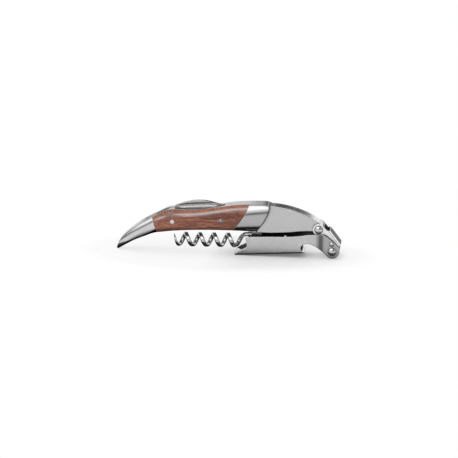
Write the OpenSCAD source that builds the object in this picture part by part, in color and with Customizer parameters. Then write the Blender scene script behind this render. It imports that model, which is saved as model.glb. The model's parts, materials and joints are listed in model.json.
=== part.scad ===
// Waiters corkscrew, closed and standing on its lever, all lengths in millimetres.
// X runs from the pointed tail (-X) to the lever hinge (+X), Y across the handle
// (front is -Y, back is +Y), Z up, table at z = 0. Places in the XZ plane are [x, z].

/* [Handle] */
// Half width across the two frame plates
frame_half = 4.7; // [4.6:0.05:4.75]
// Half of the gap between the two frame plates
gap_half = 2.0; // [1.98:0.01:2.05]
// Half width of the handle at the fullest part of the scales
belly_half = 7.2; // [7.0:0.1:7.4]

/* [Lever] */
// Inner half width of the lever channel
lever_in = 5.95; // [5.95:0.05:6.1]
// Thickness of the lever sheet
lever_t = 1.2; // [1.0:0.1:1.3]
// How far each lever cheek is set outward at the hinge
lever_jog = 0.5; // [0.4:0.05:0.6]

/* [Worm] */
// Radius from the worm axis to the wire centre
coil_r = 3.15; // [3.0:0.05:3.2]
// Radius of the wire
wire_r = 1.25; // [1.15:0.05:1.25]
// Lengthwise pitch of the coil
pitch = 8.13; // [8.0:0.01:8.2]

/* [Pins] */
// Radius of the link pin and lever pin shanks
pin_r = 1.6; // [1.5:0.05:1.7]
// Radial clearance where a part turns on a pin
run_fit = 0.05; // [0.03:0.01:0.08]

/* [Hidden] */
$fn = 64;
front = -1;
back = 1;

// clearances
fixed_fit = 0.015;  // radial, between two fixed parts
face_gap = 0.01;    // along Y, against a fixed face
turn_gap = 0.02;    // along Y, beside the blade and the worm knuckle
link_gap = 0.03;    // along Y, beside the link

// pin places
tip_pin = [51.8, 16.4];     // link to frame
low_pin = [59.75, 4.35];    // lever to link
stop_pos = [59.5, 8.75];    // stop pin in the lever cheeks
knife_pos = [-31.7, 18.3];  // knife pivot
spring_pos = [-3.8, 19.8];  // spring rivet
worm_pos = [16.0, 17.8];    // worm pivot
tail_pins = [[-45.1, 16.6], [-44.2, 12.8]];
collar_pins = [[16.5, 27.3], [7.6, 17.4]];
spacer_pins = [[30, 26.6], [42.5, 23.3]];

// pin sizes
rivet_r = 1.25;             // knife pin and spring rivet
worm_pin_r = 1.5;
small_rivet_r = 0.9;        // tail and collar rivets
dowel_r = 1.0;
stop_r = 0.75;
head_r = 2.4;               // link pin and lever pin heads
tail_rivet_half = 5.8;
collar_rivet_half = 5.9;
dowel_half = 4.2;

// link and lever
bend_r = 1.1;               // outside radius of the folded corners
link_in = frame_half + 0.1;
link_out = link_in + 1.1;
lever_out = lever_in + lever_t;
eye_in = lever_in + lever_jog;
eye_out = eye_in + lever_t;

// spans along Y, [from, to]
function both(half) = [-half, half];
function side_span(side, inner, outer) = side < 0 ? [-outer, -inner] : [inner, outer];
blank_half = 9;             // half width of the blanks the handle sides are cut from
inner_cut = both(5);        // cutter lengths
full_cut = both(20);

// smooth curve through a list of points, leaving out the last one
function pick(points, i) = points[min(max(i, 0), len(points) - 1)];
function bend_pt(a, b, c, d, t) =
    0.5 * (2*b + (c - a)*t + (2*a - 5*b + 4*c - d)*t*t + (3*b - a - 3*c + d)*t*t*t);
function curve(points, steps) = [for (i = [0 : len(points) - 2]) for (k = [0 : steps - 1])
    bend_pt(pick(points, i - 1), points[i], points[i + 1], pick(points, i + 2), k / steps)];
// the same, with the last point
function full_curve(points, steps) = concat(curve(points, steps), [points[len(points) - 1]]);
function arc(centre, radius, start, end, steps) = [for (k = [0 : steps])
    let (angle = start + (end - start)*k/steps) centre + radius * [cos(angle), sin(angle)]];
function reversed(points) = [for (i = [len(points) - 1 : -1 : 0]) points[i]];

// children drawn in the XZ plane, thick over a span of Y
module slab(span) {
    translate([0, span[1], 0]) rotate([90, 0, 0]) linear_extrude(height = span[1] - span[0]) children();
}
module plate(span, points) {
    slab(span) polygon(points);
}
module rod(place, radius, span) {
    translate([place[0], span[1], place[1]]) rotate([90, 0, 0])
        cylinder(h = span[1] - span[0], r = radius);
}
module rods(places, radius, span) {
    for (place = places) rod(place, radius, span);
}
module bores(places, radius, span, fit = fixed_fit) {
    rods(places, radius + fit, span);
}
module both_sides() {
    children();
    mirror([0, 1, 0]) children();
}
// domed head facing +Y, its base at y = base
module dome(place, radius, height, base) {
    sphere_r = (radius*radius + height*height) / (2*height);
    intersection() {
        rod(place, radius, [base, base + height]);
        translate([place[0], base + height - sphere_r, place[1]]) sphere(r = sphere_r, $fn = 96);
    }
}
// pin with a domed head at each end of its shank
module headed_pin(place, shank_r, half, dome_r, dome_h) {
    rod(place, shank_r, both(half));
    both_sides() dome(place, dome_r, dome_h, half);
}
// one washer on each side of the middle plane
module washers(place, outer_r, shank_r, span, cut_end = 5) {
    both_sides() difference() {
        rod(place, outer_r, span);
        bores([place], shank_r, [0, cut_end]);
    }
}

// ---- Handle ----
// outline: upper edge from tail to nose, round nose, lower edge from nose to tail
upper_edge = [
    [-64.8, 0.8], [-62.85, 5.4], [-58.9, 10.25], [-51.5, 15.75], [-43.9, 20.0], [-36.5, 23.9],
    [-32.4, 25.1], [-24, 25.0], [-15.6, 25.6], [-6, 27.2], [4.2, 28.85], [12, 29.5], [18, 29.65],
    [21.8, 29.55], [23.6, 28.95], [28, 28.65], [33.8, 27.7], [40.0, 26.0], [46.3, 23.5],
    [50.6, 21.1], [53.35, 19.15]];
lower_edge = [
    [48.85, 15.2], [41.1, 14.8], [34.9, 14.0], [25.5, 13.4], [19.3, 13.4], [15.0, 13.6],
    [3.0, 14.0], [-16.2, 13.75], [-30.6, 12.8], [-37.8, 11.8], [-42.7, 11.0], [-48.2, 8.9],
    [-53.9, 6.3], [-59.4, 3.0], [-63.8, 0.02]];
nose_r = 3.15;
handle_outline = concat(curve(upper_edge, 4), arc(tip_pin, nose_r, 58, -158, 18),
    full_curve(lower_edge, 4));

liner_end = -47;            // x where the frame plates stop inside the tail
// joints seen from the side, top to bottom: tail cap to scale, scale to collar, collar's +X end
tail_line = [[-43.6, 20.9], [-40.8, 11.4]];
scale_line = [[12.3, 30.5], [11.3, 27.1], [10.0, 24.3], [8.2, 21.4], [6.1, 18.2], [3.0, 14.5],
    [2.2, 13.4]];
collar_line = [[23.95, 30.5], [23.6, 26.5], [22.3, 22.8], [20.4, 19.3], [18.2, 16.3], [16.4, 13.2]];
// upper and lower limits of the collar
collar_band = [[-5, 13.85], [3, 13.9], [8.5, 13.62], [16, 13.5], [19, 13.5], [30, 13.5],
    [30, 29.4], [24, 29.55], [21, 29.72], [18, 29.76], [12, 29.6], [6, 29.12], [-5, 28.0]];
// lower edge of the back spacer, then its upper corners
back_spacer_outline = [[-2.2, 24.0], [10, 25.4], [22, 25.2], [34, 23.6], [43, 21.0], [47, 19.7],
    [49.5, 19.3], [52.5, 18.7], [55.5, 17.9], [57, 21], [46, 32], [-2.2, 32]];
// tail surface of revolution, [radius, distance from the tip]
tail_r = 8.2;
tail_profile = [[1.4, 0], [1.9, 1.2], [3.9, 6.6], [5.8, 13.2], [7.3, 20.5], [8.05, 27.7],
    [tail_r, 37]];
tail_tilt = 56.06;

stud_pos = [1.2, 0, 25.9];
stud_r = 0.45;

// rounded outer surface of one handle side: a long cone, widest toward +X
function side_r(x) = 7.8 + (x + 42) * 0.124;
module side_body(side) {
    ends = [for (end = [[-47, 15.7], [30, 23.8]])
        [end[0], side*(belly_half - side_r(end[0])), end[1]]];
    run = ends[1] - ends[0];
    length = norm(run);
    translate(ends[0]) rotate([0, acos(run[2]/length), atan2(run[1], run[0])])
        cylinder(h = length, r1 = side_r(ends[0][0]), r2 = side_r(ends[1][0]), $fn = 96);
}
// one side of the tail, turned about a line set just past the middle plane
module tail_body(side) {
    translate([-68, -side*(tail_r - belly_half), -0.85]) rotate([0, tail_tilt, 0])
        rotate_extrude($fn = 96)
            polygon(concat([[0, 0]], full_curve(tail_profile, 3), [[tail_r, 40], [0, 40]]));
}
// upright block over the whole handle height
module block(start, length, half) {
    translate([start, -half, -5]) cube([length, 2*half, 40]);
}

module frame_plate(side) {
    span = side_span(side, gap_half, frame_half);
    cut = span + [-1, 1];
    difference() {
        plate(span, handle_outline);
        block(liner_end - 20, 20, 10);
        bores([knife_pos, spring_pos], rivet_r, cut);
        bores([worm_pos], worm_pin_r, cut);
        bores([tip_pin], pin_r, cut);
        bores(concat(tail_pins, collar_pins), small_rivet_r, cut);
        bores(spacer_pins, dowel_r, both(dowel_half));
    }
}
module tail_spacer() {
    difference() {
        intersection() {
            plate(both(gap_half), handle_outline);
            block(liner_end, 9, 10);
        }
        // room for the knife to turn
        rod(knife_pos, 10.2, inner_cut);
        bores(tail_pins, small_rivet_r, inner_cut);
    }
}
module back_spacer() {
    difference() {
        intersection() {
            plate(both(gap_half), handle_outline);
            plate(both(gap_half), back_spacer_outline);
        }
        bores(spacer_pins, dowel_r, inner_cut);
        bores([collar_pins[0]], small_rivet_r, inner_cut);
        translate(stud_pos) cylinder(h = 5, r = stud_r + fixed_fit);
    }
}
module spine_stud() {
    translate(stud_pos) cylinder(h = 2.35, r = stud_r);
}
module tail_cap(side) {
    difference() {
        intersection() {
            plate(side_span(side, 0, blank_half), handle_outline);
            plate(both(blank_half), concat([[-70, -1], [-38.0, -1]], reversed(tail_line),
                [[-44.5, 30], [-70, 30]]));
            tail_body(side);
        }
        // pocket for the frame plates and tail spacer
        block(liner_end, 20, frame_half);
        bores(tail_pins, small_rivet_r, both(tail_rivet_half));
    }
}
module scale(side) {
    span = side_span(side, frame_half, blank_half);
    difference() {
        intersection() {
            plate(span, handle_outline);
            plate(span, concat([[-44.7, 24.6]], tail_line, [[-38.6, 4], [1, 4]],
                reversed(scale_line), [[12.3, 34], [-44.7, 34]]));
            side_body(side);
        }
        bores([knife_pos, spring_pos], rivet_r, both(blank_half));
    }
}
module collar(side) {
    span = side_span(side, frame_half, blank_half);
    proud = 0.1;            // how far the collar stands out past the scale
    difference() {
        intersection() {
            plate(span, concat(scale_line, [[2.6, 13.0], [16.3, 13.0]], reversed(collar_line)));
            plate(span, collar_band);
            translate([0, side*proud, 0]) side_body(side);
        }
        bores(collar_pins, small_rivet_r, both(collar_rivet_half));
    }
}

module knife_pin() {
    headed_pin(knife_pos, rivet_r, half = 7.15, dome_r = rivet_r, dome_h = 0.12);
}
module spring_rivet() {
    headed_pin(spring_pos, rivet_r, half = 7.12, dome_r = rivet_r, dome_h = 0.3);
}
module worm_pin() {
    rod(worm_pos, worm_pin_r, both(frame_half));
}
module tail_rivets() {
    rods(tail_pins, small_rivet_r, both(tail_rivet_half));
}
module collar_rivets() {
    rods(collar_pins, small_rivet_r, both(collar_rivet_half));
}
module spacer_dowels() {
    rods(spacer_pins, dowel_r, both(dowel_half));
}

// ---- Foil knife ----
blade_half = 1.3;
// upper edge toward +X, then the cutting edge back toward the pivot
blade_back = [[-31.0, 26.3], [-29.6, 27.0], [-26.8, 28.1], [-22.4, 29.4], [-18.0, 30.05],
    [-13.5, 29.95], [-9.1, 29.1], [-6.0, 28.3], [-3.9, 27.7]];
blade_edge = [[-3.9, 27.7], [-6.6, 25.8], [-11.5, 23.6], [-17.5, 21.9], [-25.0, 20.2]];
spring_outline = [[-30.2, 13.4], [-26.5, 16.3], [-18, 18.4], [-10, 20.2], [-6.6, 22.2],
    [-1.6, 22.2], [-0.6, 19.6], [-2.4, 17.0], [-10, 16.0], [-20, 14.8]];

// long shallow groove cut into the front face: a round section swept along an arc
module thumb_groove() {
    sweep_r = 85;
    sweep = 24;
    stand_off = 1.05;       // section centre to blade face
    translate([-17.6, 0, 27.3]) rotate([0, -4, 0])
        translate([0, -blade_half - stand_off - sweep_r, 0]) rotate([0, 0, 90 - sweep/2])
            rotate_extrude(angle = sweep, $fn = 360)
                translate([sweep_r, 0]) circle(r = 1.9, $fn = 48);
}
// wedge taken off the +Y side of the cutting edge
module edge_bevel() {
    translate([-14.2, 0, 22.6]) rotate([0, -17.5, 0]) translate([-14, 0, 0])
        rotate([90, 0, 90]) linear_extrude(height = 30)
            polygon([[0.25, -3], [1.6, -3], [1.6, 2.6]]);
}
module knife_blade() {
    span = both(blade_half);
    difference() {
        union() {
            plate(span, concat(curve(blade_back, 5), full_curve(blade_edge, 4),
                [[-27.3, 17.6], knife_pos, [-34.6, 20.6], [-31.0, 24.0]]));
            rod(knife_pos, 4.5, span);
            // larger round on the upper tail side of the pivot
            intersection() {
                rod(knife_pos, 6.75, span);
                plate(span, [knife_pos, [-41.36, 20.9], [-41.36, 30], [-31.0, 30], [-31.0, 18.3]]);
            }
        }
        bores([knife_pos], rivet_r, inner_cut, run_fit);
        thumb_groove();
        both_sides() edge_bevel();
    }
}
module knife_washers() {
    washers(knife_pos, 3.2, rivet_r, [blade_half + turn_gap, gap_half - face_gap]);
}
module knife_spring() {
    difference() {
        plate(both(gap_half - 0.1), spring_outline);
        // hollow around the knife pivot
        rod(knife_pos, 4.55, inner_cut);
        bores([spring_pos], rivet_r, inner_cut);
    }
}

// ---- Worm ----
// The wire is placed by turn count n: tapered point at the top at n = -1, even coil from
// -0.5 to coil_end, then it opens out and straightens into the shank.
coil_x = -24.5;             // x at n = 0
coil_end = 3.5;
wire_end = 4.34;
point_pitch = 6.0;
open_pitch = 14.5;
shank_z = 11.0;
wire_sides = 12;
knuckle_half = 1.7;
knuckle_outline = [[13.4, 9.1], [18.3, 9.1], [19.1, 10.2], [19.2, 17.0], [12.9, 17.0], [13.4, 12.9]];
// turn counts of the wire sections, closer together in the point
wire_turns = concat([for (i = [0 : 20]) -1 + 0.04*i], [for (i = [1 : 120]) -0.2 + i*4.36/120],
    [4.22, wire_end]);

function smooth(t) = let (u = min(max(t, 0), 1)) u*u*(3 - 2*u);
function unit(v) = v / norm(v);
function wire_x(n) =
    n < -0.5 ? coil_x - 0.5*pitch + (n + 0.5)*point_pitch
    : n <= coil_end ? coil_x + n*pitch
    : coil_x + coil_end*pitch + (n - coil_end)*open_pitch - 0.9*smooth((n - coil_end)/0.25);
function axis_z(x) = 7.2 + 0.018*x;
// 0 in the coil, rising to 1 in the straight shank
function straight(n) = smooth((n - 3.65) / 0.5);
function wire_pt(n) = let (x = wire_x(n), turn = 360*n, w = straight(n))
    [x, -coil_r*sin(turn)*(1 - w),
        axis_z(x) + coil_r*cos(turn)*(1 - w) + w*(shank_z - axis_z(x))];
function taper_r(n) = wire_r * min(1, 0.10 + 0.90*pow(max(n + 1, 0)/0.62, 0.8));
// ring of points around the wire, square to its run
function wire_ring(n) = let (
        centre = wire_pt(n),
        along = unit(wire_pt(n + 0.004) - wire_pt(n - 0.004)),
        radial = [0, centre[1], centre[2] - axis_z(centre[0])],
        outward = unit(radial - along*(radial*along)),
        sideways = cross(along, outward))
    [for (j = [0 : wire_sides - 1]) let (angle = 360*j/wire_sides)
        centre + taper_r(n)*(cos(angle)*outward + sin(angle)*sideways)];

module worm_wire() {
    m = wire_sides;
    rings = len(wire_turns);
    tip = rings*m;          // index of the tip point, the end point follows it
    points = concat([for (n = wire_turns) each wire_ring(n)],
        [wire_pt(wire_turns[0]), wire_pt(wire_end)]);
    walls = [for (i = [0 : rings - 2]) for (j = [0 : m - 1]) let (b = i*m, next = (j + 1) % m)
        each [[b + j, b + m + j, b + m + next], [b + j, b + m + next, b + next]]];
    tip_cap = [for (j = [0 : m - 1]) [tip, j, (j + 1) % m]];
    end_cap = [for (j = [0 : m - 1]) [tip + 1, tip - m + (j + 1) % m, tip - m + j]];
    polyhedron(points = points, faces = concat(walls, tip_cap, end_cap));
}
module worm_knuckle() {
    socket_x = 10;
    end_gap = 0.02;
    difference() {
        union() {
            rod(worm_pos, 3.2, both(knuckle_half));
            plate(both(knuckle_half), knuckle_outline);
        }
        bores([worm_pos], worm_pin_r, inner_cut, run_fit);
        // socket for the shank
        translate([socket_x, 0, shank_z]) rotate([0, 90, 0])
            cylinder(h = wire_x(wire_end) - socket_x + end_gap, r = wire_r + 0.01);
    }
}
module worm_washers() {
    washers(worm_pos, 2.9, worm_pin_r, [knuckle_half + turn_gap, gap_half - face_gap]);
}

// ---- Link: two plates joined by a web along their +X edge ----
web_top = [58.45, 15.85];
web_foot = [64.6, 8.0];
web_foot_in = [63.73, 7.32];
link_outline = [[54.15, 18.73], [56.75, 15.9], [57.55, 16.05], web_top, web_foot, web_foot_in,
    [63.0, 6.9], low_pin, [56.3, 8.8], [49.85, 13.72]];

// rounds the folded edges along the web
module link_envelope() {
    flat_half = link_out - bend_r;
    depth = 40;
    translate([web_foot[0], 0, web_foot[1]]) rotate([0, -38.08, 0]) translate([0, 0, -30])
        linear_extrude(height = 70) union() {
            translate([-depth, -link_out]) square([depth - bend_r, 2*link_out]);
            translate([-depth, -flat_half]) square([depth, 2*flat_half]);
            for (s = [-1, 1]) translate([-bend_r, s*flat_half]) circle(r = bend_r);
        }
}
module link() {
    span = [link_in, link_out];
    difference() {
        intersection() {
            link_envelope();
            union() {
                both_sides() {
                    rod(tip_pin, 3.35, span);
                    rod(low_pin, 4.2, span);
                    plate(span, link_outline);
                }
                plate(both(link_out), [web_top, web_foot, web_foot_in, [57.58, 15.17]]);
            }
        }
        // trims the lower ring over part of its rim
        intersection() {
            difference() {
                rod(low_pin, 5.25, full_cut);
                rod(low_pin, 3.4, both(21));
            }
            plate(both(22), concat([low_pin], arc(low_pin, 12, 81.5, 241, 6)));
        }
        bores([tip_pin, low_pin], pin_r, full_cut, run_fit);
    }
}
module link_pin() {
    headed_pin(tip_pin, pin_r, half = link_out + link_gap, dome_r = head_r, dome_h = 1.1);
}

// ---- Lever: channel with a hooked lip at the +X end of its floor, a crown cap notch
// beyond the lip, and two cheeks reaching to the hinge ----
eye_r = 4.05;
floor_start = [4.5, 0.0];
floor_end = [44.2, 2.6];
lip_tip = [44.3, 2.95];
// upper edge toward +X: first run, small bump, second run
cheek_upper = [[10.3, 10.6], [13.7, 11.1], [20.2, 11.4], [26.3, 11.65], [32.2, 11.75]];
cheek_bump = [[32.5, 12.5], [33.05, 12.75], [33.6, 12.5]];
cheek_upper_b = [[33.9, 11.85], [40.3, 12.4], [45.2, 13.2], [48.6, 13.55], [52.0, 13.65],
    [54.2, 13.75], [55.8, 13.25], [57.1, 12.4], [58.7, 11.2], [60.5, 9.7], [62.05, 8.05],
    [63.05, 6.7], [63.5, 5.9]];
// from the eye around the notch to the lip, then the rise at the -X end
neck_lower = [[56.2, 2.2], [54.4, 3.8], [52.0, 5.65], [49.4, 7.15], [47.0, 8.1], [44.9, 8.2],
    [43.1, 7.5], [42.05, 6.2], [42.0, 4.6], [42.7, 3.7], lip_tip];
cheek_end = [[4.1, 0.9], [4.8, 1.5], [6.3, 2.5], [8.8, 3.7], [11.1, 5.2], [10.7, 8.4]];
cheek_outline = concat(full_curve(cheek_upper, 4), cheek_bump, full_curve(cheek_upper_b, 4),
    arc(low_pin, eye_r, 12, -142, 20), full_curve(neck_lower, 4), [floor_end, floor_start], cheek_end);
// one cheek seen from above, [x, y]
cheek_plan = [[0, lever_in], [51.2, lever_in], [56.2, eye_in], [70, eye_in],
    [70, eye_out], [56.0, eye_out], [51.0, lever_out], [0, lever_out]];

// rounds the folded corners along the floor
module lever_envelope() {
    flat_half = lever_out - bend_r;
    translate([floor_start[0], 0, 0]) rotate([0, -3.747, 0]) translate([-6, 0, 0])
        rotate([90, 0, 90]) linear_extrude(height = 66) union() {
            translate([-lever_out, bend_r]) square([2*lever_out, 30]);
            translate([-flat_half, 0]) square([2*flat_half, 30]);
            for (s = [-1, 1]) translate([s*flat_half, bend_r]) circle(r = bend_r);
        }
    // past the floor nothing is rounded
    translate([44.35, -20, -5]) cube([40, 40, 50]);
}
module lever() {
    difference() {
        intersection() {
            lever_envelope();
            union() {
                both_sides() intersection() {
                    plate([0, 12], cheek_outline);
                    linear_extrude(height = 40) polygon(cheek_plan);
                }
                plate(both(lever_out), [cheek_end[0], floor_start, floor_end, lip_tip,
                    [42.7, 3.7], [42.0, 3.66], [4.9, 1.25]]);
            }
        }
        // hollow +X edge of the hooked lip
        intersection() {
            translate([lip_tip[0] + 24.2, 0, -5]) cylinder(h = 8.9, r = 25, $fn = 128);
            translate([40, -10, -5]) cube([5, 20, 9]);
        }
        bores([low_pin], pin_r, full_cut);
        bores([stop_pos], stop_r, full_cut);
    }
}
module lever_pin() {
    headed_pin(low_pin, pin_r, half = eye_out + face_gap, dome_r = head_r, dome_h = 1.05);
}
module lever_washers() {
    washers(low_pin, 3.3, pin_r, [link_out + link_gap, eye_in - face_gap], cut_end = 12);
}
module stop_pin() {
    headed_pin(stop_pos, stop_r, half = eye_out + face_gap, dome_r = 1.35, dome_h = 0.7);
}

// ---- Nodes ----
sheet = [0.72, 0.73, 0.74];
spacer = [0.60, 0.61, 0.62];
bolster = [0.78, 0.78, 0.80];
brown = [0.50, 0.28, 0.20];
wire = [0.70, 0.70, 0.71];
rivet = [0.66, 0.66, 0.67];
brass = [0.76, 0.62, 0.36];
bright = [0.80, 0.80, 0.82];

color(sheet) frame_plate(front);  // frame_plate_front
color(sheet) frame_plate(back);  // frame_plate_back
color(spacer) tail_spacer();
color(spacer) back_spacer();
color([0.45, 0.45, 0.46]) spine_stud();
color(bolster) tail_cap(front);  // tail_cap_front
color(bolster) tail_cap(back);  // tail_cap_back
color(brown) scale(front);  // scale_front
color(brown) scale(back);  // scale_back
color(bolster) collar(front);  // collar_front
color(bolster) collar(back);  // collar_back
color([0.82, 0.82, 0.83]) knife_pin();
color(wire) spring_rivet();
color(rivet) worm_pin();
color(rivet) tail_rivets();
color(rivet) collar_rivets();
color(rivet) spacer_dowels();
color([0.84, 0.84, 0.85]) knife_blade();
color(brass) knife_washers();
color([0.55, 0.56, 0.57]) knife_spring();
color(wire) worm_wire();
color([0.64, 0.64, 0.65]) worm_knuckle();
color(brass) worm_washers();
color([0.74, 0.74, 0.76]) link();
color(bright) link_pin();
color(sheet) lever();
color(bright) lever_pin();
color(brass) lever_washers();
color(bright) stop_pin();
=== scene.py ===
import json, math
import bpy, bmesh
from mathutils import Vector, Matrix

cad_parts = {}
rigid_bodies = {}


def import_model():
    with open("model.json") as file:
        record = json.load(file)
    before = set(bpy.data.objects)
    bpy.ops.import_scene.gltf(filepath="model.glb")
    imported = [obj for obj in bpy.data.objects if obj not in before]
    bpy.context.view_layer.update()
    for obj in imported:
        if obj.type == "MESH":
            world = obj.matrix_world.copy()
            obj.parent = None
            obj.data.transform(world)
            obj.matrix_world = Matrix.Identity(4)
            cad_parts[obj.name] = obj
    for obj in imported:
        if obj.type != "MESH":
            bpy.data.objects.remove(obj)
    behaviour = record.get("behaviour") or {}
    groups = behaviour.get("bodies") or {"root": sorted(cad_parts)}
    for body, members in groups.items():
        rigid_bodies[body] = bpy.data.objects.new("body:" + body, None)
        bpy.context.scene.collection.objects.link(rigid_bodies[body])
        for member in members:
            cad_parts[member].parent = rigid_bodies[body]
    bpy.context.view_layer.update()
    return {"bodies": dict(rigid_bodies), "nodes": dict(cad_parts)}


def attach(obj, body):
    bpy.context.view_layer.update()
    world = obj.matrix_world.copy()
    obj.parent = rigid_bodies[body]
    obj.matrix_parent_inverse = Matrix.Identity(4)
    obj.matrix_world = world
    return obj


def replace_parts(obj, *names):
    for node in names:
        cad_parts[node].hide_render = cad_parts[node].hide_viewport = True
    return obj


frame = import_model()
NODES = frame["nodes"]
MM = 0.001
scene = bpy.context.scene
scene.view_settings.view_transform = "Standard"
scene.view_settings.look = "None"
scene.view_settings.exposure = 0.0
scene.view_settings.gamma = 1.0


# ---------------------------------------------------------------- node helpers
class Mat:
    """A small builder for node materials; lengths inside are millimetres of object space."""

    def __init__(self, name):
        self.m = bpy.data.materials.new(name)
        self.m.use_nodes = True
        self.t = self.m.node_tree
        self.t.nodes.clear()
        self.out = self.t.nodes.new("ShaderNodeOutputMaterial")
        self.b = self.t.nodes.new("ShaderNodeBsdfPrincipled")
        self.t.links.new(self.b.outputs[0], self.out.inputs["Surface"])
        self.tc = self.t.nodes.new("ShaderNodeTexCoord")

    def link(self, a, b):
        self.t.links.new(a, b)

    def coords(self, scale=(1, 1, 1), rot=(0, 0, 0), loc=(0, 0, 0), src=None):
        n = self.t.nodes.new("ShaderNodeMapping")
        n.inputs["Scale"].default_value = tuple(1000.0 * s for s in scale)
        n.inputs["Rotation"].default_value = rot
        n.inputs["Location"].default_value = loc
        self.link(src if src else self.tc.outputs["Object"], n.inputs["Vector"])
        return n.outputs[0]

    def noise(self, vec, scale=1.0, detail=3.0, rough=0.55, dist=0.0):
        n = self.t.nodes.new("ShaderNodeTexNoise")
        n.inputs["Scale"].default_value = scale
        n.inputs["Detail"].default_value = detail
        n.inputs["Roughness"].default_value = rough
        n.inputs["Distortion"].default_value = dist
        self.link(vec, n.inputs["Vector"])
        return n.outputs["Fac"]

    def ramp(self, fac, stops, interp="LINEAR"):
        n = self.t.nodes.new("ShaderNodeValToRGB")
        n.color_ramp.interpolation = interp
        e = n.color_ramp.elements
        while len(e) < len(stops):
            e.new(0.5)
        for k, (p, c) in enumerate(stops):
            e[k].position = p
            e[k].color = (c, c, c, 1) if isinstance(c, (int, float)) else (*c, 1)
        self.link(fac, n.inputs["Fac"])
        return n.outputs["Color"]

    def remap(self, fac, a, b, c, d):
        n = self.t.nodes.new("ShaderNodeMapRange")
        for k, v in zip(("From Min", "From Max", "To Min", "To Max"), (a, b, c, d)):
            n.inputs[k].default_value = v
        self.link(fac, n.inputs["Value"])
        return n.outputs[0]

    def math(self, op, a, b=None):
        n = self.t.nodes.new("ShaderNodeMath")
        n.operation = op
        for k, v in enumerate((a, b)):
            if v is None:
                continue
            if isinstance(v, (int, float)):
                n.inputs[k].default_value = v
            else:
                self.link(v, n.inputs[k])
        return n.outputs[0]

    def mix(self, fac, a, b, mode="MIX"):
        n = self.t.nodes.new("ShaderNodeMix")
        n.data_type = "RGBA"
        n.blend_type = mode
        for k, v in (("Factor", fac), ("A", a), ("B", b)):
            s = [i for i in n.inputs if i.name == k and (i.type == ("VALUE" if k == "Factor" else "RGBA"))][0]
            if isinstance(v, (int, float)):
                s.default_value = v if k == "Factor" else (v, v, v, 1)
            elif isinstance(v, tuple):
                s.default_value = (*v, 1)
            else:
                self.link(v, s)
        return [o for o in n.outputs if o.type == "RGBA"][0]

    def bump(self, height, strength=0.2, dist_mm=0.05, normal=None):
        n = self.t.nodes.new("ShaderNodeBump")
        n.inputs["Strength"].default_value = strength
        n.inputs["Distance"].default_value = dist_mm * MM
        self.link(height, n.inputs["Height"])
        if normal:
            self.link(normal, n.inputs["Normal"])
        return n.outputs[0]

    def edges(self, lo=0.50, hi=0.62):
        n = self.t.nodes.new("ShaderNodeNewGeometry")
        return self.remap(n.outputs["Pointiness"], lo, hi, 0.0, 1.0)

    def crevice(self, dist_mm=1.2, lo=0.12, power=1.4):
        """Painted shade: 1 on open faces, falling to lo in narrow gaps and inside corners."""
        n = self.t.nodes.new("ShaderNodeAmbientOcclusion")
        n.samples = 4
        n.inputs["Distance"].default_value = dist_mm * MM
        return self.remap(self.math("POWER", n.outputs["AO"], power), 0.0, 0.85, lo, 1.0)

    def facing(self, axis, lo, hi):
        """0 to 1 as the object-space normal's component on one axis goes from lo to hi; 'Y' is taken on both sides."""
        n = self.t.nodes.new("ShaderNodeSeparateXYZ")
        self.link(self.tc.outputs["Normal"], n.inputs[0])
        v = n.outputs[axis]
        if axis == "Y":
            v = self.math("ABSOLUTE", v)
        return self.remap(v, lo, hi, 0.0, 1.0)

    def inside(self, lo=0.3):
        """Painted shade: lo on the faces that look in towards the tool's middle plane, 1 on the outer faces."""
        n = self.t.nodes.new("ShaderNodeSeparateXYZ")
        self.link(self.tc.outputs["Normal"], n.inputs[0])
        return self.remap(self.math("MULTIPLY", self.place("Y"), n.outputs["Y"]), -2.2, -0.9, lo, 1.0)

    def stored(self, name):
        n = self.t.nodes.new("ShaderNodeAttribute")
        n.attribute_name = name
        return n.outputs["Fac"]

    def place(self, axis):
        """Object-space position on one axis in millimetres."""
        n = self.t.nodes.new("ShaderNodeSeparateXYZ")
        self.link(self.tc.outputs["Object"], n.inputs[0])
        return self.math("MULTIPLY", n.outputs[axis], 1000.0)

    def set(self, **kw):
        for k, v in kw.items():
            s = self.b.inputs[k.replace("_", " ")]
            if isinstance(v, (int, float)):
                s.default_value = v
            elif isinstance(v, tuple):
                s.default_value = (*v, 1)
            else:
                self.link(v, s)
        return self.m


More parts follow.
